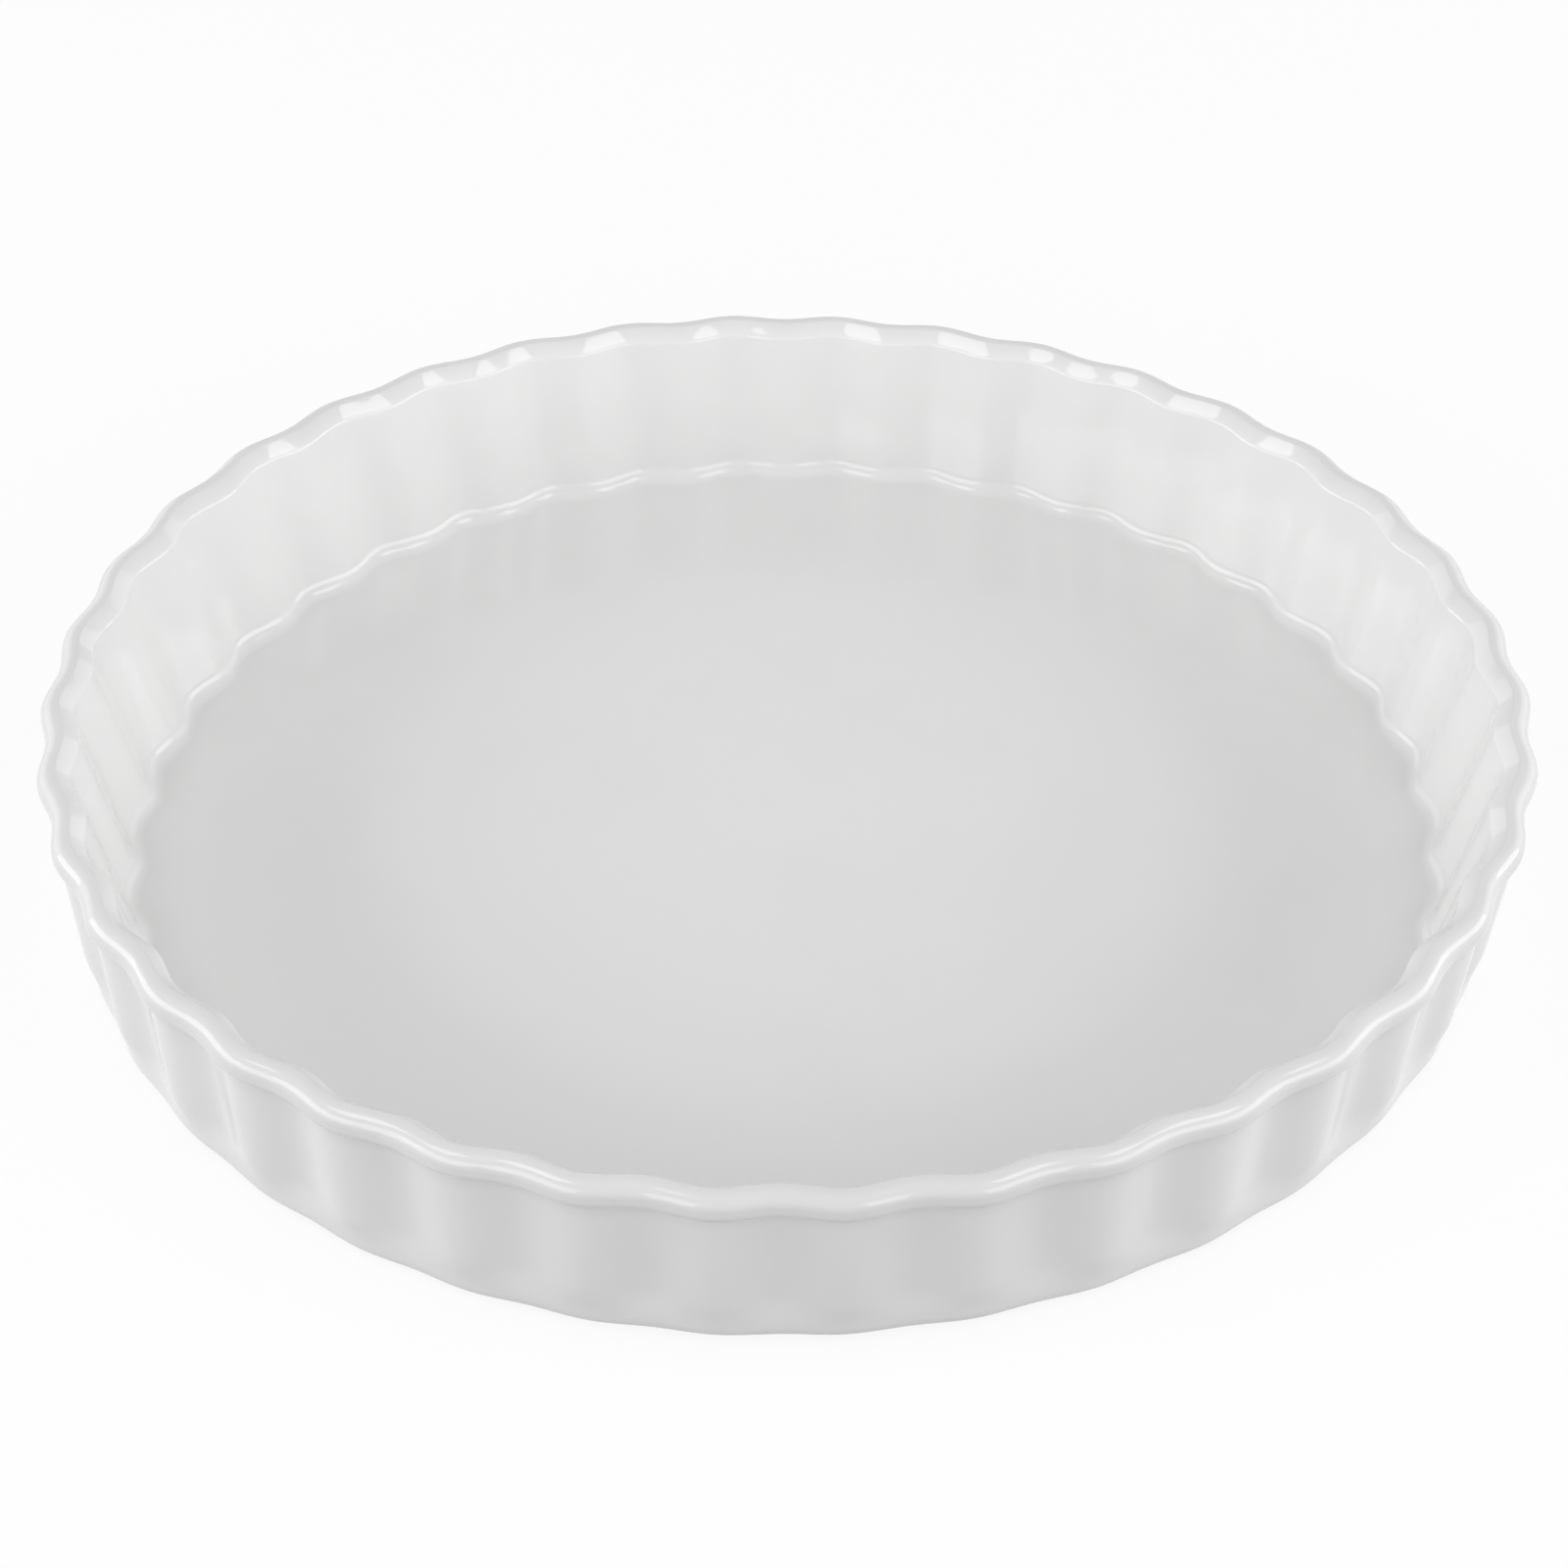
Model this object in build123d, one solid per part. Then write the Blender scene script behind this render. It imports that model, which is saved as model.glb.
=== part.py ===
from build123d import *
import os
from math import cos, pi, radians, sin

os.makedirs("parts", exist_ok=True)

# A round quiche dish of white glazed stoneware with a fluted wall and a rolled rim.
# The fired body is one solid. The glaze fused on it is a thin coat in two solids:
# one over the wall, rim, well and floor, and one in the hollow under the dish.
#
# Millimetres, +Z up. The origin is on the table under the middle of the dish.
# Radii and diameters of fluted surfaces are taken midway between the crest of a
# flute and the hollow beside it. A flute depth is the distance from crest to hollow.
# All sizes but the glaze's own are those of the glazed dish.

# Flutes
flute_count = 38
runs_per_flute = 5

# Rim bead, with the lip that rounds over into the well
rim_diameter = 280.0
dish_height = 37.5
rim_width = 6.4
bead_height = 5.4
bead_under_slope = 0.8
bead_flute_depth = 1.6

# Outside of the wall
wall_top_step = 1.9
wall_flare = 5.7
wall_flute_depth = 2.0
base_flute_depth = 0.6
flute_fade_height = 7.5

# Inside of the wall
wall_base_thickness = 3.3
well_flute_depth = 2.0
floor_flute_depth = 1.2

# Rounded edges, each turned in this many flat facets
edge_facets = 1
base_round = 3.6
bead_shoulder_round = 2.6
lip_round = 3.8
cove_round = 7.0

# Floor and foot
floor_thickness = 3.6
foot_height = 1.2
foot_inset = 9.6
foot_flank_lean = 0.8

# Glaze, which covers all but the foot
glaze_thickness = 0.4
bare_foot_height = 0.8

# Heights and radii that follow from the driving dimensions
flute_angle = 2 * pi / flute_count
rim_radius = rim_diameter / 2
mouth_radius = rim_radius - rim_width
crease_height = dish_height - bead_height
crease_radius = rim_radius - wall_top_step
wall_base_radius = rim_radius - wall_flare
well_base_radius = wall_base_radius - wall_base_thickness
foot_inner_radius = wall_base_radius - foot_inset
floor_height = foot_height + floor_thickness


def fluted_ring(radius, height, flute_depth):
    """One closed wire round the dish, in short straight runs, the same number on each flute."""
    runs = flute_count * runs_per_flute
    angles = [flute_angle * run / runs_per_flute for run in range(runs)]
    reach = [radius + flute_depth / 2 * cos(flute_count * angle) for angle in angles]
    points = [Vector(r * cos(a), r * sin(a), height) for r, a in zip(reach, angles)]
    return Wire.make_polygon(points, close=True)


def rounded(centre_radius, centre_height, edge_round, start, end, flute_depth):
    """Stations along a rounded edge from start to end degrees, in facets that touch its arc."""
    turn = radians(end - start) / (edge_facets + 1)
    reach = edge_round / cos(turn / 2)
    angles = [radians(start) + turn * (vertex + 1 / 2) for vertex in range(edge_facets + 1)]
    return [(centre_radius + reach * cos(a), centre_height + reach * sin(a), flute_depth) for a in angles]


def outside(inset):
    """Stations of radius, height and flute depth from the table up to the flat of the rim."""
    base_centre = (wall_base_radius - base_round, base_round)
    base = rounded(*base_centre, base_round - inset, -90, 0, base_flute_depth)
    foot_edge = (base[0][0], 0, base_flute_depth)
    fade_share = flute_fade_height / (crease_height - base_round)
    fade_radius = wall_base_radius + (crease_radius - wall_base_radius) * fade_share
    fade = (fade_radius - inset, base_round + flute_fade_height, wall_flute_depth)
    crease = (crease_radius - inset, crease_height, wall_flute_depth)
    bead_edge = (rim_radius - inset, crease_height + bead_under_slope + inset, bead_flute_depth)
    shoulder_centre = (rim_radius - bead_shoulder_round, dish_height - bead_shoulder_round)
    shoulder = rounded(*shoulder_centre, bead_shoulder_round - inset, 0, 90, bead_flute_depth)
    return [foot_edge, *base[1:], fade, crease, bead_edge, *shoulder]


def inside(inset):
    """Stations from the flat of the rim over the lip and down to the edge of the floor."""
    lip_centre = (mouth_radius + lip_round, dish_height - lip_round)
    lip = rounded(*lip_centre, lip_round - inset, 90, 180, well_flute_depth)
    cove_centre = (well_base_radius - cove_round, floor_height + cove_round)
    cove = rounded(*cove_centre, cove_round + inset, 0, -90, floor_flute_depth)
    return [*lip, *cove]


def above_glaze_line(stations):
    """The stations above the bare foot, with one more on the line where the glaze ends."""
    first = next(index for index, station in enumerate(stations) if station[1] > bare_foot_height)
    below, above = stations[first - 1], stations[first]
    share = (bare_foot_height - below[1]) / (above[1] - below[1])
    line = tuple(low + (high - low) * share for low, high in zip(below, above))
    return [line, *stations[first:]]


def fluted_solid(stations):
    """The solid whose wall runs through the stations, with a flat face at each end."""
    return Solid.make_loft([fluted_ring(*station) for station in stations], ruled=True)


def foot_hollow(inset):
    """The shallow hollow inside the foot ring, measured to the glaze or to the body behind it."""
    wide = foot_inner_radius + inset
    return Solid.make_cone(wide, wide - foot_flank_lean, foot_height + inset)


def upper_coat(body_stations, glaze_stations):
    """The glaze over the outside, the rim, the well and the floor."""
    skins = [fluted_solid(above_glaze_line(stations)) for stations in (body_stations, glaze_stations)]
    ends = [skin.faces().sort_by(Axis.Z)[0] for skin in skins]
    kept = [face for skin, end in zip(skins, ends) for face in skin.faces() if face != end]
    edge = Face(ends[1].outer_wire(), [ends[0].outer_wire()])
    return Solid(Shell([*kept, edge]))


def under_coat():
    """The glaze in the hollow inside the foot ring."""
    coat = foot_hollow(glaze_thickness) - foot_hollow(0)
    bare_foot = Solid.make_cylinder(rim_radius, bare_foot_height)
    return coat - bare_foot


body_stations = outside(glaze_thickness) + inside(glaze_thickness)
glaze_stations = outside(0) + inside(0)

dish_body = fluted_solid(body_stations) - foot_hollow(glaze_thickness)
glaze_coat = Compound(children=[upper_coat(body_stations, glaze_stations), under_coat()])

for name, shape in {"dish_body": dish_body, "glaze_coat": glaze_coat}.items():
    export_step(shape, f"parts/{name}.step")
    volumes = [round(solid.volume) for solid in shape.solids()]
    print(name, "solids of", volumes, "cubic mm, in", len(shape.faces()), "faces")
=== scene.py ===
"""A round quiche dish of white glazed stoneware, fluted all round, on a pale floor."""

import math
from typing import NamedTuple

import bmesh
import bpy
from bpy.props import FloatProperty, FloatVectorProperty, IntProperty, PointerProperty
from mathutils import Matrix, Vector


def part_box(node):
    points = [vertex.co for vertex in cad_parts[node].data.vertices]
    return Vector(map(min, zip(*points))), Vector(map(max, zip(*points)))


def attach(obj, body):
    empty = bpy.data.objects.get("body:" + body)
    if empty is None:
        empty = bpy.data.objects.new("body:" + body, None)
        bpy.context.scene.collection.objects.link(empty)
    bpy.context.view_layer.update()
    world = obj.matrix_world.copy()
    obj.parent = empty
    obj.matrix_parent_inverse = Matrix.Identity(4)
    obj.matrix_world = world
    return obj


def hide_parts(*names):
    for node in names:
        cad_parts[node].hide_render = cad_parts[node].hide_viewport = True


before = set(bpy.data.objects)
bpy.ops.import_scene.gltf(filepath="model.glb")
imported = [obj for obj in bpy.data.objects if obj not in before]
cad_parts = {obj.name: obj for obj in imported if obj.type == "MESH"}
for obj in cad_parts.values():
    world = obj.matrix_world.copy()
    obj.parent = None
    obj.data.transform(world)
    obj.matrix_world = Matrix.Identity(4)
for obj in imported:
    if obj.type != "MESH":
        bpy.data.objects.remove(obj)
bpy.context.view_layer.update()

glaze_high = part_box("glaze_coat")[1]

bl_info = {
    "name": "Fluted quiche dish",
    "version": (1, 0, 0),
    "blender": (4, 5, 0),
    "location": "3D View > Sidebar > Quiche dish",
    "description": "Makes a fluted quiche dish with its glaze, its bare foot and a small studio",
    "category": "Add Mesh",
}

MM = 0.001
RIM_FLUTE = 1.6 * MM


# What a user would change

def length(name, default, description):
    return FloatProperty(
        name=name, description=description, default=default, min=0.0, unit="LENGTH", precision=4
    )


def direction(name, default, description):
    return FloatProperty(name=name, description=description, default=default, subtype="ANGLE")


def share(name, default, description):
    return FloatProperty(
        name=name, description=description, default=default, min=0.0, max=1.0, subtype="FACTOR"
    )


def tint(name, default, description):
    return FloatVectorProperty(
        name=name, description=description, default=default, min=0.0, max=1.0, size=3, subtype="COLOR"
    )


def radiance(name, default, description):
    return FloatProperty(name=name, description=description, default=default, min=0.0)


class DishSizes(bpy.types.PropertyGroup):
    """Sizes of the dish. Radii of fluted surfaces are midway between crest and hollow."""

    flutes: IntProperty(name="Flutes", description="Flutes round the wall", default=38, min=8)
    runs: IntProperty(name="Runs per flute", description="Faces that make one flute", default=14, min=4)
    rim_flute: length("Rim flute depth", RIM_FLUTE, "Crest to hollow on the outside of the rim bead")
    rim_radius: length("Rim radius", glaze_high.x - RIM_FLUTE / 2, "Middle of the dish to its outside")
    height: length("Height", glaze_high.z, "Table to the top of the rim")
    wall_flute: length("Wall flute depth", 2.6 * MM, "Crest to hollow on the outside of the wall")
    base_flute: length("Base flute depth", 0.6 * MM, "Crest to hollow at the rounded base")
    well_flute: length("Well flute depth", 1.9 * MM, "Crest to hollow on the inside of the wall")
    floor_flute: length("Floor flute depth", 2.1 * MM, "Crest to hollow where the wall meets the floor")
    fade: length("Flute fade", 7.5 * MM, "Height over which the flutes grow out of the base")
    crease_height: length("Crease height", 32.1 * MM, "Table to the crease under the rim bead")
    crease_radius: length("Crease radius", 138.1 * MM, "Middle of the dish to the crease")
    base_radius: length("Base radius", 134.9 * MM, "Middle of the dish to the wall above its rounded base")
    base_round: length("Base round", 3.6 * MM, "Radius of the rounded base")
    shoulder_round: length("Shoulder round", 2.6 * MM, "Radius of the outer edge of the rim")
    lip_width: length("Lip width", 2.8 * MM, "How far the inner edge of the rim reaches as it rounds over")
    lip_drop: length("Lip drop", 2.3 * MM, "How far the inner edge of the rim drops as it rounds over")
    rim_width: length("Rim width", 6.4 * MM, "Outside of the rim bead to the wall inside")
    well_radius: length("Well radius", 127.2 * MM, "Middle of the dish to the foot of the wall inside")
    cove_round: length("Cove round", 3.8 * MM, "Radius of the hollow corner between wall and floor")
    floor_height: length("Floor height", 4.8 * MM, "Table to the floor of the well")
    foot_height: length("Foot height", 1.2 * MM, "Table to the hollow inside the foot ring")
    foot_radius: length("Foot radius", 124.7 * MM, "Middle of the dish to the inside of the foot ring")
    glaze: length("Glaze thickness", 0.4 * MM, "Thickness of the glaze coat")
    bare_foot: length("Bare foot height", 0.8 * MM, "Table to the edge of the glaze")
    oval: length("Oval", 1.63 * MM, "How far the firing pulled the rim out of round, to two sides")
    oval_turn: direction("Oval direction", -0.557, "One side of the oval")
    warp: length("Warp", 0.56 * MM, "How far the firing pulled the rim out of round, to three sides")
    warp_turn: direction("Warp direction", 0.176, "One side of the warp")


class DishFinish(bpy.types.PropertyGroup):
    """Colours and surfaces of the dish."""

    glaze_colour: tint("Glaze", (0.76, 0.76, 0.757), "Colour of the white glaze")
    # The second glaze colour is painted shade, a darker grey mixed in where the lines carry painted shade.
    shaded_glaze_colour: tint("Pooled glaze", (0.68, 0.685, 0.68), "Colour where the glaze runs thick")
    glaze_roughness: share("Glaze roughness", 0.05, "Roughness of the glaze")
    clay_colour: tint("Fired clay", (0.74, 0.71, 0.655), "Colour of the bare foot")
    clay_roughness: share("Clay roughness", 0.85, "Roughness of the bare foot")


class Studio(bpy.types.PropertyGroup):
    """The floor, the light and the camera."""

    floor_colour: tint("Floor", (0.93, 0.93, 0.93), "Colour of the floor as it is seen")
    floor_bounce: tint("Floor bounce", (0.36, 0.36, 0.36), "Colour of the floor for light thrown back")
    floor_share: share("Floor shown white", 0.88, "How far the floor is shown white instead of as it is lit")
    sky: radiance("Sky light", 0.38, "Strength of the light from all round")
    front_light: radiance("Front light", 0.3, "Brightness of the low soft box on the camera's side")
    corner_light: radiance("Corner lights", 2.3, "Brightness of the low soft boxes between front and sides")
    side_light: radiance("Side lights", 2.7, "Brightness of the low soft boxes at the sides")
    rear_light: radiance("Rear lights", 0.8, "Brightness of the low soft boxes behind the sides")
    high_light: radiance("High lights", 3.0, "Brightness of the small soft boxes high over the sides")
    lens: FloatProperty(name="Lens", description="Focal length in millimetres", default=96.5, min=10.0)


# Small sizes and places on the turned form

CREASE_RUN = 3 * MM
CREASE_ROUND = 1.8 * MM
BEAD_RISE = 0.9 * MM
BEAD_ROUND = 1.9 * MM
BROW_ROUND = 0.9 * MM
CHIN_ROUND = 1.2 * MM
WELL_RUN = 6 * MM
FOOT_LEAN = 0.8 * MM
HOLLOW_ROUND = 0.5 * MM
CLAY_EDGE_ROUND = 0.15 * MM

# How far from the middle of the floor its rings stand, as shares of the well's radius
FINE_RING_SHARES = (0.9, 0.75, 0.5, 0.25)
COARSE_RING_SHARES = (0.5,)
FLOOR_WAVE_SHARE = 0.2

# Painted shade on the glaze, from 0 to 1: how far its colour is drawn darker towards the shaded glaze colour
# at each corner
CREASE_APPROACH_PAINTED_SHADE = 0.1
CREASE_PAINTED_SHADE = 0.6
BEAD_PAINTED_SHADE = 0.5
RIM_PAINTED_SHADE = 0.9
CHIN_PAINTED_SHADE = 0.2
COVE_PAINTED_SHADE = 0.1
HOLLOW_PAINTED_SHADE = 0.5

# Steps that round a corner: on the face of the glaze, at its back, on the clay and in the hollow
FACE_STEPS = 5
BACK_STEPS = 2
CLAY_STEPS = 3
HOLLOW_STEPS = 3
CLAY_EDGE_STEPS = 2
FADE_STEPS = 6

# Points nearer than this are one point
WELD = 1e-6

TREE_NAME = "Turned and fluted"


# The turned form and its flutes

class Corner(NamedTuple):
    """A corner of a turned line, with its flute depth, painted shade and rounding."""

    radius: float
    height: float
    flute: float = 0
    painted_shade: float = 0
    rounding: float = 0
    steps: int = 1


def rounded(corners):
    """A line of radius, height, flute depth and painted shade through the corners, rounded."""
    line = []
    for index, (r, z, flute, painted_shade, rounding, steps) in enumerate(corners):
        corner = Vector((r, z))
        if not rounding or index in (0, len(corners) - 1):
            line.append((r, z, flute, painted_shade))
            continue
        before, after = (Vector(corners[index + step][:2]) - corner for step in (-1, 1))
        before.normalize()
        after.normalize()
        half = before.angle(after) / 2
        centre = corner + (before + after).normalized() * rounding / math.sin(half)
        start = corner + before * rounding / math.tan(half) - centre
        turn = math.pi - 2 * half
        way = 1 if start.x * (corner - centre).y - start.y * (corner - centre).x > 0 else -1
        for step in range(steps + 1):
            point = centre + Matrix.Rotation(way * turn * step / steps, 2) @ start
            line.append((point.x, point.y, flute, painted_shade))
    return line


def swell(share_up):
    """Rises from 0 to 1 and is level at both ends."""
    return share_up * share_up * (3 - 2 * share_up)


def outside(dish, inset, steps):
    """Corners of the outside of the wall, from the table to the top of the rim."""
    lean = (dish.crease_radius - dish.base_radius) / (dish.crease_height - dish.base_round)
    base = dish.base_radius - dish.base_round * lean - inset
    corners = [
        Corner(dish.base_radius - 2 * dish.base_round, 0, dish.base_flute),
        Corner(base, 0, dish.base_flute, 0, dish.base_round - inset, 2 * steps),
    ]
    for step in range(FADE_STEPS + 1):
        up = step / FADE_STEPS
        height = dish.base_round + dish.fade * up
        flute = dish.base_flute + (dish.wall_flute - dish.base_flute) * swell(up)
        corners.append(Corner(dish.base_radius + dish.fade * up * lean - inset, height, flute))
    crease = dish.crease_radius - inset
    edge = dish.rim_radius - inset
    under = dish.crease_height - CREASE_RUN
    bead = dish.crease_height + BEAD_RISE + inset
    crease_flute = (dish.wall_flute + dish.rim_flute) / 2
    # The fourth values are painted shade: the glaze is drawn darker at the crease under the bead, on the
    # bead and most on the rim top.
    corners += [
        Corner(crease - CREASE_RUN * lean, under, dish.wall_flute, CREASE_APPROACH_PAINTED_SHADE),
        Corner(crease, dish.crease_height, crease_flute, CREASE_PAINTED_SHADE, CREASE_ROUND, steps),
        Corner(edge, bead, dish.rim_flute, BEAD_PAINTED_SHADE, BEAD_ROUND - inset / 2, steps),
        Corner(edge, dish.height - inset, dish.rim_flute, RIM_PAINTED_SHADE, dish.shoulder_round - inset, 2 * steps),
    ]
    return corners


def inside(dish, inset, steps):
    """Corners of the inside, from the rounded lip down the wall to the middle of the floor."""
    wall = dish.rim_radius - dish.rim_width + inset
    slope = math.atan2(dish.lip_drop, dish.lip_width)
    brow = wall + dish.lip_width - inset + inset * math.tan(slope / 2)
    chin = dish.height - dish.lip_drop - inset * math.tan(math.pi / 4 - slope / 2)
    well = dish.well_radius + inset
    floor = dish.floor_height - inset
    lean = (wall - well) / (dish.height - dish.lip_drop - floor - dish.cove_round)
    cove = well - dish.cove_round * lean
    # The fourth values are painted shade: the glaze is drawn darker on the rounded lip, a little at its chin
    # and in the cove.
    corners = [
        Corner(brow, dish.height - inset, dish.rim_flute, RIM_PAINTED_SHADE, BROW_ROUND, steps),
        Corner(wall, chin, dish.well_flute, CHIN_PAINTED_SHADE, CHIN_ROUND, steps),
        Corner(well + WELL_RUN * lean, floor + dish.cove_round + WELL_RUN, dish.well_flute),
        Corner(cove, floor, dish.floor_flute, COVE_PAINTED_SHADE, dish.cove_round + inset, 2 * steps),
    ]
    rings = FINE_RING_SHARES if steps > BACK_STEPS else COARSE_RING_SHARES
    corners += [Corner(well * ring, floor, dish.floor_flute * FLOOR_WAVE_SHARE * ring) for ring in rings]
    corners.append(Corner(0, floor))
    return corners


def above(line, height):
    """The part of a line that starts where it first passes a height."""
    first = next(index for index, point in enumerate(line) if point[1] > height)
    low, high = line[first - 1], line[first]
    part = (height - low[1]) / (high[1] - low[1])
    return [tuple(a + (b - a) * part for a, b in zip(low, high)), *line[first:]]


def foot_hollow(dish, inset):
    """Corners of the shallow hollow under the dish, from its middle out to the table."""
    top = dish.foot_height + inset
    edge = dish.foot_radius + inset
    return [
        Corner(0, top),
        Corner(edge / 2, top),
        # Painted shade: the glaze is drawn darker in the corner of the hollow under the dish.
        Corner(edge - FOOT_LEAN, top, 0, HOLLOW_PAINTED_SHADE, HOLLOW_ROUND, HOLLOW_STEPS),
        Corner(edge, 0),
    ]


def glaze_side(dish, inset, steps):
    """One side of the glaze coat round the dish, from the edge over the bare foot to the middle."""
    return above(rounded(outside(dish, inset, steps) + inside(dish, inset, steps)), dish.bare_foot)


def hollow_side(dish, inset):
    """One side of the glaze in the hollow, from its edge in to the middle."""
    return above(list(reversed(rounded(foot_hollow(dish, inset)))), dish.bare_foot)


def skin_of_glaze(dish):
    """Lines of the glaze: one round the dish, one in the hollow under it."""
    face = glaze_side(dish, 0, FACE_STEPS)
    back = glaze_side(dish, dish.glaze, BACK_STEPS)
    hollow = list(reversed(hollow_side(dish, 0)))
    hollow_back = hollow_side(dish, dish.glaze)
    return [list(reversed(face)) + back, hollow + hollow_back]


def face_of_clay(dish):
    """One line round the fired clay, from the hollow under it to the middle of the floor."""
    hollow = foot_hollow(dish, dish.glaze)[:-1]
    edge = dish.foot_radius + dish.glaze
    hollow.append(Corner(edge, 0, 0, 0, CLAY_EDGE_ROUND, CLAY_EDGE_STEPS))
    clay = outside(dish, dish.glaze, CLAY_STEPS)[1:] + inside(dish, dish.glaze, CLAY_STEPS)
    return [rounded(hollow + clay)]


def line_object(name, lines):
    """A mesh of edges that carries each point's flute depth and painted shade."""
    mesh = bpy.data.meshes.new(name)
    points, edges = [], []
    for line in lines:
        edges += [(len(points) + k, len(points) + k + 1) for k in range(len(line) - 1)]
        points += line
    mesh.from_pydata([(r, 0, z) for r, z, flute, painted_shade in points], edges, [])
    # The second attribute carries painted shade for the glaze colour.
    for label, place in (("flute_depth", 2), ("painted_glaze_shade", 3)):
        values = mesh.attributes.new(label, "FLOAT", "POINT").data
        values.foreach_set("value", [point[place] for point in points])
    made = bpy.data.objects.new(name, mesh)
    bpy.context.scene.collection.objects.link(made)
    return made


class Tree:
    """Adds nodes to a node tree and joins them."""

    def __init__(self, tree):
        self.tree = tree

    def add(self, kind, *feeds, out=0, **settings):
        node = self.tree.nodes.new(kind)
        for key, value in settings.items():
            setattr(node, key, value)
        for place, feed in enumerate(feeds):
            self.feed(node, place, feed)
        return node.outputs[out] if node.outputs else node

    def feed(self, node, place, value):
        if isinstance(value, bpy.types.NodeSocket):
            self.tree.links.new(value, node.inputs[place])
        elif value is not None:
            node.inputs[place].default_value = value

    def maths(self, operation, *values):
        return self.add("ShaderNodeMath", *values, operation=operation)


def fluting_tree():
    """Turns a line round the upright axis and presses the flutes into it."""
    group = bpy.data.node_groups.new(TREE_NAME, "GeometryNodeTree")
    group.is_modifier = True
    face = group.interface
    face.new_socket("Line", in_out="INPUT", socket_type="NodeSocketGeometry")
    for name, kind in (
        ("Flutes", "Int"), ("Runs per flute", "Int"), ("Oval", "Float"), ("Oval direction", "Float"),
        ("Warp", "Float"), ("Warp direction", "Float"), ("Rim height", "Float"), ("Rim radius", "Float"),
        ("Finish", "Material"),
    ):
        face.new_socket(name, in_out="INPUT", socket_type="NodeSocket" + kind)
    face.new_socket("Form", in_out="OUTPUT", socket_type="NodeSocketGeometry")
    build = Tree(group)
    given = group.nodes.new("NodeGroupInput").outputs

    profile = build.add("GeometryNodeMeshToCurve", given["Line"])
    place = build.add("ShaderNodeSeparateXYZ", build.add("GeometryNodeInputPosition")).node
    depth = build.add("GeometryNodeInputNamedAttribute", "flute_depth", data_type="FLOAT")
    kept = group.nodes.new("GeometryNodeCaptureAttribute")
    for name, source in (("Radius", place.outputs[0]), ("Height", place.outputs[2]), ("Depth", depth)):
        kept.capture_items.new("FLOAT", name)
        group.links.new(source, kept.inputs[name])
    group.links.new(profile, kept.inputs["Geometry"])

    steps = build.maths("MULTIPLY", given["Flutes"], given["Runs per flute"])
    ring = group.nodes.new("GeometryNodeCurvePrimitiveCircle")
    group.links.new(steps, ring.inputs["Resolution"])
    ring.inputs["Radius"].default_value = 1.0
    turned = group.nodes.new("GeometryNodeCaptureAttribute")
    turned.capture_items.new("FLOAT", "Angle")
    around = build.maths("ARCTAN2", place.outputs[1], place.outputs[0])
    group.links.new(around, turned.inputs["Angle"])
    group.links.new(ring.outputs["Curve"], turned.inputs["Geometry"])
    angle = turned.outputs["Angle"]

    sheet = group.nodes.new("GeometryNodeCurveToMesh")
    group.links.new(turned.outputs["Geometry"], sheet.inputs["Curve"])
    group.links.new(kept.outputs["Geometry"], sheet.inputs["Profile Curve"])

    wave = build.maths("COSINE", build.maths("MULTIPLY", angle, given["Flutes"]))
    swing = build.maths("MULTIPLY", build.maths("MULTIPLY", kept.outputs["Depth"], 0.5), wave)
    pulls = []
    for sides, name in ((2.0, "Oval"), (3.0, "Warp")):
        turn = build.maths("SUBTRACT", angle, given[name + " direction"])
        wave_round = build.maths("COSINE", build.maths("MULTIPLY", turn, sides))
        pulls.append(build.maths("MULTIPLY", wave_round, given[name]))
    upward = build.maths("DIVIDE", kept.outputs["Height"], given["Rim height"])
    outward = build.maths("DIVIDE", kept.outputs["Radius"], given["Rim radius"])
    pull = build.maths("MULTIPLY", build.maths("ADD", *pulls), build.maths("MULTIPLY", upward, outward))
    reach = build.maths("ADD", build.maths("ADD", kept.outputs["Radius"], swing), pull)
    x = build.maths("MULTIPLY", reach, build.maths("COSINE", angle))
    y = build.maths("MULTIPLY", reach, build.maths("SINE", angle))
    spot = build.add("ShaderNodeCombineXYZ", x, y, kept.outputs["Height"])
    form = build.add("GeometryNodeSetPosition", sheet.outputs[0], None, spot)
    merge = group.nodes.new("GeometryNodeMergeByDistance")
    group.links.new(form, merge.inputs["Geometry"])
    merge.inputs["Distance"].default_value = WELD
    smooth = build.add("GeometryNodeSetShadeSmooth", merge.outputs[0])
    whole = build.add("GeometryNodeRealizeInstances", smooth)
    done = group.nodes.new("GeometryNodeSetMaterial")
    group.links.new(whole, done.inputs["Geometry"])
    group.links.new(given["Finish"], done.inputs["Material"])
    group.links.new(done.outputs[0], group.nodes.new("NodeGroupOutput").inputs[0])
    return group


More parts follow.
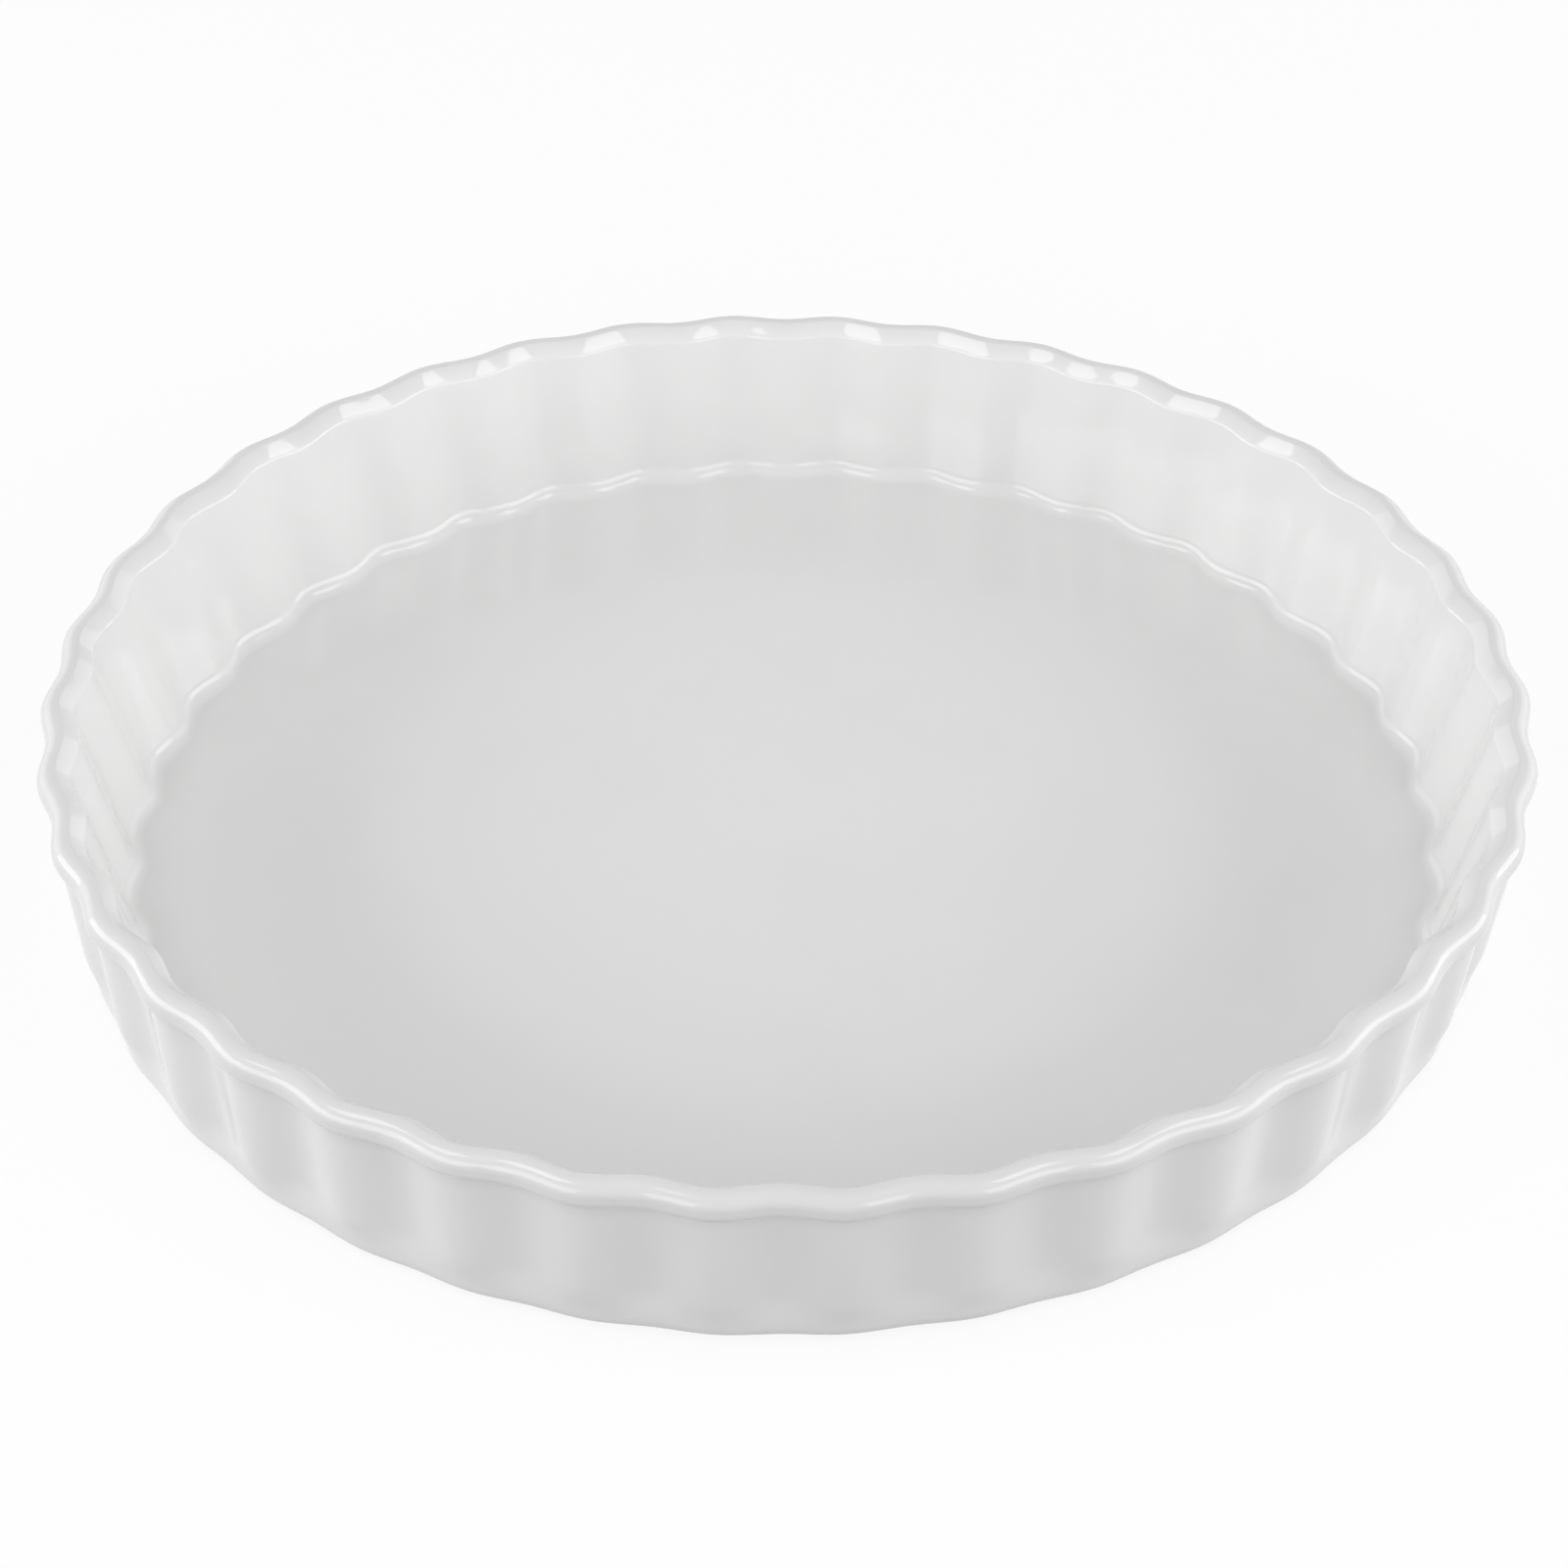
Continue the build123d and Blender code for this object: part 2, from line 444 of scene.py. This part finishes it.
def turn_and_flute(name, lines, dish, finish):
    """A piece made from its lines by the fluting tree, as a plain closed mesh with its faces outward."""
    source = line_object(name + "_line", lines)
    group = bpy.data.node_groups.get(TREE_NAME) or fluting_tree()
    modifier = source.modifiers.new(TREE_NAME, "NODES")
    modifier.node_group = group
    values = {
        "Flutes": dish.flutes, "Runs per flute": dish.runs,
        "Oval": dish.oval, "Oval direction": dish.oval_turn,
        "Warp": dish.warp, "Warp direction": dish.warp_turn,
        "Rim height": dish.height, "Rim radius": dish.rim_radius,
        "Finish": finish,
    }
    for socket in group.interface.items_tree:
        if socket.in_out == "INPUT" and socket.name in values:
            modifier[socket.identifier] = values[socket.name]
    bpy.context.view_layer.update()
    shaped = source.evaluated_get(bpy.context.evaluated_depsgraph_get())
    mesh = bpy.data.meshes.new_from_object(shaped)
    if not mesh.polygons:
        raise RuntimeError(f"the fluting tree made no faces for {name}")
    bpy.data.objects.remove(source)
    loose = bmesh.new()
    loose.from_mesh(mesh)
    bmesh.ops.recalc_face_normals(loose, faces=loose.faces)
    loose.to_mesh(mesh)
    loose.free()
    mesh.name = name
    piece = bpy.data.objects.new(name, mesh)
    bpy.context.scene.collection.objects.link(piece)
    return piece


# Finishes

# Sockets that several others share a name with
OBJECT_PLACE = 3
MIX_FACTOR, MIX_LOW, MIX_HIGH, MIX_COLOUR = 0, 6, 7, 2

# Glaze
GLAZE_IOR = 1.5
CLOUD_SHARE = 0.12
RIPPLE_HEIGHT = 0.12 * MM
PEEL_HEIGHT = 0.006 * MM
PIT_DEPTH = 0.08 * MM
PIT_COLOUR = (0.42, 0.40, 0.37)
PIT_TINT_SHARE = 0.3
ROUGH_LOW_SHARE, ROUGH_HIGH_SHARE = 0.8, 1.25

# Clay
DARK_CLAY_SHARE = 0.86
GRIT_COLOUR = (0.42, 0.36, 0.29)
GRIT_TINT_SHARE = 0.5
CLAY_GRAIN_HEIGHT = 0.05 * MM


def new_finish(name):
    """A material with one main shader, with the tree that paints it."""
    finish = bpy.data.materials.new(name)
    finish.use_nodes = True
    finish.node_tree.nodes.clear()
    paint = Tree(finish.node_tree)
    shader = finish.node_tree.nodes.new("ShaderNodeBsdfPrincipled")
    end = finish.node_tree.nodes.new("ShaderNodeOutputMaterial")
    finish.node_tree.links.new(shader.outputs[0], end.inputs[0])
    return finish, paint, shader


def mixed(paint, factor, low, high):
    """A colour between two others, each a socket or three parts."""
    node = paint.tree.nodes.new("ShaderNodeMix")
    node.data_type = "RGBA"
    paint.feed(node, MIX_FACTOR, factor)
    for place, colour in ((MIX_LOW, low), (MIX_HIGH, high)):
        if not isinstance(colour, bpy.types.NodeSocket):
            colour = (*colour, 1.0)
        paint.feed(node, place, colour)
    return node.outputs[MIX_COLOUR]


def grain(paint, place, scale, detail=2.0, roughness=0.5):
    """Noise that has about that many patches in a metre."""
    node = paint.tree.nodes.new("ShaderNodeTexNoise")
    paint.tree.links.new(place, node.inputs["Vector"])
    node.inputs["Scale"].default_value = scale
    node.inputs["Detail"].default_value = detail
    node.inputs["Roughness"].default_value = roughness
    return node.outputs["Fac"]


def ramp(paint, value, low, high, start=0.0, end=1.0):
    """Spreads the values from low to high over start to end."""
    node = paint.tree.nodes.new("ShaderNodeMapRange")
    for place, feed in enumerate((value, low, high, start, end)):
        paint.feed(node, place, feed)
    return node.outputs[0]


def bump(paint, height, distance, below=None):
    """Raises the surface by a height from 0 to 1 times the distance, over any bump below it."""
    node = paint.tree.nodes.new("ShaderNodeBump")
    node.inputs["Strength"].default_value = 1.0
    node.inputs["Distance"].default_value = distance
    paint.tree.links.new(height, node.inputs["Height"])
    if below is not None:
        paint.tree.links.new(below, node.inputs["Normal"])
    return node.outputs[0]


def white_glaze(look):
    """Glossy white glaze with painted shade where the lines say so, random cloudy tone, faint ripples and
    pinholes.
    """
    finish, paint, shader = new_finish("White glaze")
    place = paint.add("ShaderNodeTexCoord", out=OBJECT_PLACE)
    # Painted shade: the lines' share, plus a random cloud of tone, mixes the glaze towards the darker shaded
    # colour.
    painted_shade = paint.tree.nodes.new("ShaderNodeAttribute")
    painted_shade.attribute_name = "painted_glaze_shade"
    patches = grain(paint, place, scale=28.0, detail=3.0)
    cloud = ramp(paint, patches, low=0.35, high=0.65, start=-CLOUD_SHARE, end=CLOUD_SHARE)
    shade_and_cloud = paint.maths("ADD", painted_shade.outputs["Fac"], cloud)
    shade_and_cloud.node.use_clamp = True
    speck = paint.tree.nodes.new("ShaderNodeTexVoronoi")
    speck.inputs["Scale"].default_value = 60.0
    paint.tree.links.new(place, speck.inputs["Vector"])
    spread = paint.tree.nodes.new("ShaderNodeSeparateColor")
    paint.tree.links.new(speck.outputs["Color"], spread.inputs[0])
    few = ramp(paint, spread.outputs[0], low=0.93, high=0.94)
    hole = ramp(paint, speck.outputs["Distance"], low=0.02, high=0.035, start=1.0, end=0.0)
    pinhole = paint.maths("MULTIPLY", few, hole)
    colour = mixed(paint, shade_and_cloud, look.glaze_colour, look.shaded_glaze_colour)
    colour = mixed(paint, paint.maths("MULTIPLY", pinhole, PIT_TINT_SHARE), colour, PIT_COLOUR)
    paint.tree.links.new(colour, shader.inputs["Base Color"])
    smooth = look.glaze_roughness * ROUGH_LOW_SHARE
    dull = look.glaze_roughness * ROUGH_HIGH_SHARE
    wear = grain(paint, place, scale=60.0, detail=4.0)
    rough = ramp(paint, wear, low=0.3, high=0.7, start=smooth, end=dull)
    paint.tree.links.new(rough, shader.inputs["Roughness"])
    shader.inputs["IOR"].default_value = GLAZE_IOR
    ripple = bump(paint, grain(paint, place, scale=55.0, detail=1.0), RIPPLE_HEIGHT)
    peel = bump(paint, grain(paint, place, scale=420.0, detail=2.0), PEEL_HEIGHT, below=ripple)
    pitted = bump(paint, paint.maths("SUBTRACT", 1.0, pinhole), PIT_DEPTH, below=peel)
    paint.tree.links.new(pitted, shader.inputs["Normal"])
    return finish


def bare_clay(look):
    """Matt fired clay with fine grain and a few darker grits."""
    finish, paint, shader = new_finish("Bare fired clay")
    place = paint.add("ShaderNodeTexCoord", out=OBJECT_PLACE)
    broad = ramp(paint, grain(paint, place, scale=35.0, detail=4.0), low=0.3, high=0.7)
    dark = tuple(value * DARK_CLAY_SHARE for value in look.clay_colour)
    colour = mixed(paint, broad, dark, look.clay_colour)
    grit = ramp(paint, grain(paint, place, scale=2400.0, detail=2.0), low=0.66, high=0.72)
    colour = mixed(paint, paint.maths("MULTIPLY", grit, GRIT_TINT_SHARE), colour, GRIT_COLOUR)
    paint.tree.links.new(colour, shader.inputs["Base Color"])
    shader.inputs["Roughness"].default_value = look.clay_roughness
    fine = bump(paint, grain(paint, place, scale=1800.0, detail=4.0, roughness=0.6), CLAY_GRAIN_HEIGHT)
    paint.tree.links.new(fine, shader.inputs["Normal"])
    return finish


# The pieces

def stand_for(piece, node):
    """Lets a piece move with the body and stand in for a node."""
    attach(piece, "root")
    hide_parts(node)


class QUICHE_OT_white_glaze(bpy.types.Operator):
    """Make the glaze: the fluted outside, the rim bead, the well and the hollow under the dish"""

    bl_idname = "quiche.white_glaze"
    bl_label = "White glaze"

    def execute(self, context):
        dish = context.scene.dish_sizes
        finish = white_glaze(context.scene.dish_finish)
        piece = turn_and_flute("white_glaze", skin_of_glaze(dish), dish, finish)
        stand_for(piece, "glaze_coat")
        return {"FINISHED"}


class QUICHE_OT_fired_clay(bpy.types.Operator):
    """Make the fired clay under the glaze, which shows at the bare foot ring"""

    bl_idname = "quiche.fired_clay"
    bl_label = "Fired clay"

    def execute(self, context):
        dish = context.scene.dish_sizes
        finish = bare_clay(context.scene.dish_finish)
        piece = turn_and_flute("fired_clay", face_of_clay(dish), dish, finish)
        stand_for(piece, "dish_body")
        return {"FINISHED"}


# The stage

FLOOR_REACH = 4.0

# The soft boxes stand this far from the middle of the dish and point at a spot over its floor
LIGHT_DISTANCE = 1.2
LIGHT_AIM = (0, 0, 0.02)

# Width and height of the soft boxes
WIDE_BOX = (0.95, 0.6)
SMALL_BOX = (0.48, 0.36)

# How far each box is turned from the camera's side, and how far it is raised, in degrees
LOW_RISE, HIGH_RISE = 18.0, 62.0
CORNER_TURN, SIDE_TURN, REAR_TURN, HIGH_TURN = 45, 90, 135, 75

# The camera: its place, its turn round the dish, how far it looks down and how far it is rolled
CAMERA_PLACE = (0.00018, -0.6419, 0.5105)
CAMERA_TURN, CAMERA_PITCH, CAMERA_ROLL = 0.0105, 0.6563, -0.0127
SENSOR_WIDTH = 36.0
NEAREST, FARTHEST = 0.05, 20.0


def seen_rays(paint):
    """1 for camera, glossy and transmitted rays, and 0 for those that light one surface from another."""
    path = paint.tree.nodes.new("ShaderNodeLightPath")
    mirrored = paint.maths("MAXIMUM", path.outputs["Is Glossy Ray"], path.outputs["Is Transmission Ray"])
    return paint.maths("MAXIMUM", path.outputs["Is Camera Ray"], mirrored)


def show_as_white(paint, seen, shader, share_white):
    """Rays that are seen find the surface mostly white; all other rays find its own shader."""
    white = paint.add("ShaderNodeEmission")
    return paint.add("ShaderNodeMixShader", paint.maths("MULTIPLY", seen, share_white), shader, white)


def soft_box(name, place, size, brightness):
    """A lit rectangle of that brightness, facing the dish."""
    lamp = bpy.data.lights.new(name, "AREA")
    lamp.shape = "RECTANGLE"
    lamp.size, lamp.size_y = size
    lamp.energy = brightness * size[0] * size[1] * math.pi
    box = bpy.data.objects.new(name, lamp)
    box.location = place
    box.rotation_euler = (Vector(LIGHT_AIM) - Vector(place)).to_track_quat("-Z", "Y").to_euler()
    bpy.context.scene.collection.objects.link(box)


class QUICHE_OT_studio(bpy.types.Operator):
    """Make the pale floor, the soft boxes, the sky and the camera"""

    bl_idname = "quiche.studio"
    bl_label = "Studio"

    def execute(self, context):
        scene = context.scene
        studio = scene.studio
        self.floor(studio)
        self.light(scene, studio)
        self.camera(scene, studio)
        scene.view_settings.view_transform = "Standard"
        return {"FINISHED"}

    def floor(self, studio):
        mesh = bpy.data.meshes.new("floor")
        far = FLOOR_REACH
        corners = [(-far, -far, 0), (far, -far, 0), (far, far, 0), (-far, far, 0)]
        mesh.from_pydata(corners, [], [(0, 1, 2, 3)])
        floor = bpy.data.objects.new("floor", mesh)
        bpy.context.scene.collection.objects.link(floor)
        finish = bpy.data.materials.new("Pale floor")
        finish.use_nodes = True
        finish.node_tree.nodes.clear()
        paint = Tree(finish.node_tree)
        seen = seen_rays(paint)
        colour = mixed(paint, seen, studio.floor_bounce, studio.floor_colour)
        plain = paint.add("ShaderNodeBsdfDiffuse", colour)
        paint.add("ShaderNodeOutputMaterial", show_as_white(paint, seen, plain, studio.floor_share))
        mesh.materials.append(finish)

    def light(self, scene, studio):
        world = bpy.data.worlds.new("Studio")
        world.use_nodes = True
        world.node_tree.nodes.clear()
        paint = Tree(world.node_tree)
        sky = paint.add("ShaderNodeBackground", (1.0, 1.0, 1.0, 1.0), studio.sky)
        paint.add("ShaderNodeOutputWorld", show_as_white(paint, seen_rays(paint), sky, 1.0))
        scene.world = world
        self.ring_box("front_box", 0, LOW_RISE, WIDE_BOX, studio.front_light)
        for side, way in (("left", -1), ("right", 1)):
            for name, turn, brightness in (
                ("corner_box", CORNER_TURN, studio.corner_light),
                ("box", SIDE_TURN, studio.side_light),
                ("rear_box", REAR_TURN, studio.rear_light),
            ):
                self.ring_box(f"{side}_{name}", turn * way, LOW_RISE, WIDE_BOX, brightness)
            self.ring_box(f"{side}_high_box", HIGH_TURN * way, HIGH_RISE, SMALL_BOX, studio.high_light)

    def ring_box(self, name, turn, rise, size, brightness):
        """A soft box that faces the dish, turned from the camera's side and raised, both in degrees."""
        turn, rise = math.radians(turn), math.radians(rise)
        way = Vector((math.sin(turn) * math.cos(rise), -math.cos(turn) * math.cos(rise), math.sin(rise)))
        soft_box(name, way * LIGHT_DISTANCE, size, brightness)

    def camera(self, scene, studio):
        data = bpy.data.cameras.new("camera")
        data.lens = studio.lens
        data.sensor_width = SENSOR_WIDTH
        data.clip_start, data.clip_end = NEAREST, FARTHEST
        camera = bpy.data.objects.new("camera", data)
        down = Vector((0, math.cos(CAMERA_PITCH), -math.sin(CAMERA_PITCH)))
        level = Vector((1, 0, 0))
        upright = level.cross(down)
        right = math.cos(CAMERA_ROLL) * level + math.sin(CAMERA_ROLL) * upright
        up = math.cos(CAMERA_ROLL) * upright - math.sin(CAMERA_ROLL) * level
        pose = Matrix((right, up, -down)).transposed().to_4x4()
        pose.translation = CAMERA_PLACE
        camera.matrix_world = Matrix.Rotation(CAMERA_TURN, 4, "Z") @ pose
        scene.collection.objects.link(camera)
        scene.camera = camera


class QUICHE_PT_panel(bpy.types.Panel):
    """Sizes, finishes and studio of the quiche dish"""

    bl_label = "Quiche dish"
    bl_idname = "QUICHE_PT_panel"
    bl_space_type = "VIEW_3D"
    bl_region_type = "UI"
    bl_category = "Quiche dish"

    def draw(self, context):
        scene = context.scene
        groups = {"Sizes": scene.dish_sizes, "Finishes": scene.dish_finish, "Studio": scene.studio}
        for label, group in groups.items():
            box = self.layout.box()
            box.label(text=label)
            for name in group.bl_rna.properties.keys():
                if name not in ("rna_type", "name"):
                    box.prop(group, name)
        for operator in (QUICHE_OT_fired_clay, QUICHE_OT_white_glaze, QUICHE_OT_studio):
            self.layout.operator(operator.bl_idname)


CLASSES = (
    DishSizes, DishFinish, Studio,
    QUICHE_OT_fired_clay, QUICHE_OT_white_glaze, QUICHE_OT_studio,
    QUICHE_PT_panel,
)


def register():
    for kind in CLASSES:
        bpy.utils.register_class(kind)
    bpy.types.Scene.dish_sizes = PointerProperty(type=DishSizes)
    bpy.types.Scene.dish_finish = PointerProperty(type=DishFinish)
    bpy.types.Scene.studio = PointerProperty(type=Studio)


def unregister():
    for name in ("dish_sizes", "dish_finish", "studio"):
        delattr(bpy.types.Scene, name)
    for kind in reversed(CLASSES):
        bpy.utils.unregister_class(kind)


def main():
    register()
    bpy.ops.quiche.fired_clay()
    bpy.ops.quiche.white_glaze()
    bpy.ops.quiche.studio()


if __name__ == "__main__":
    main()
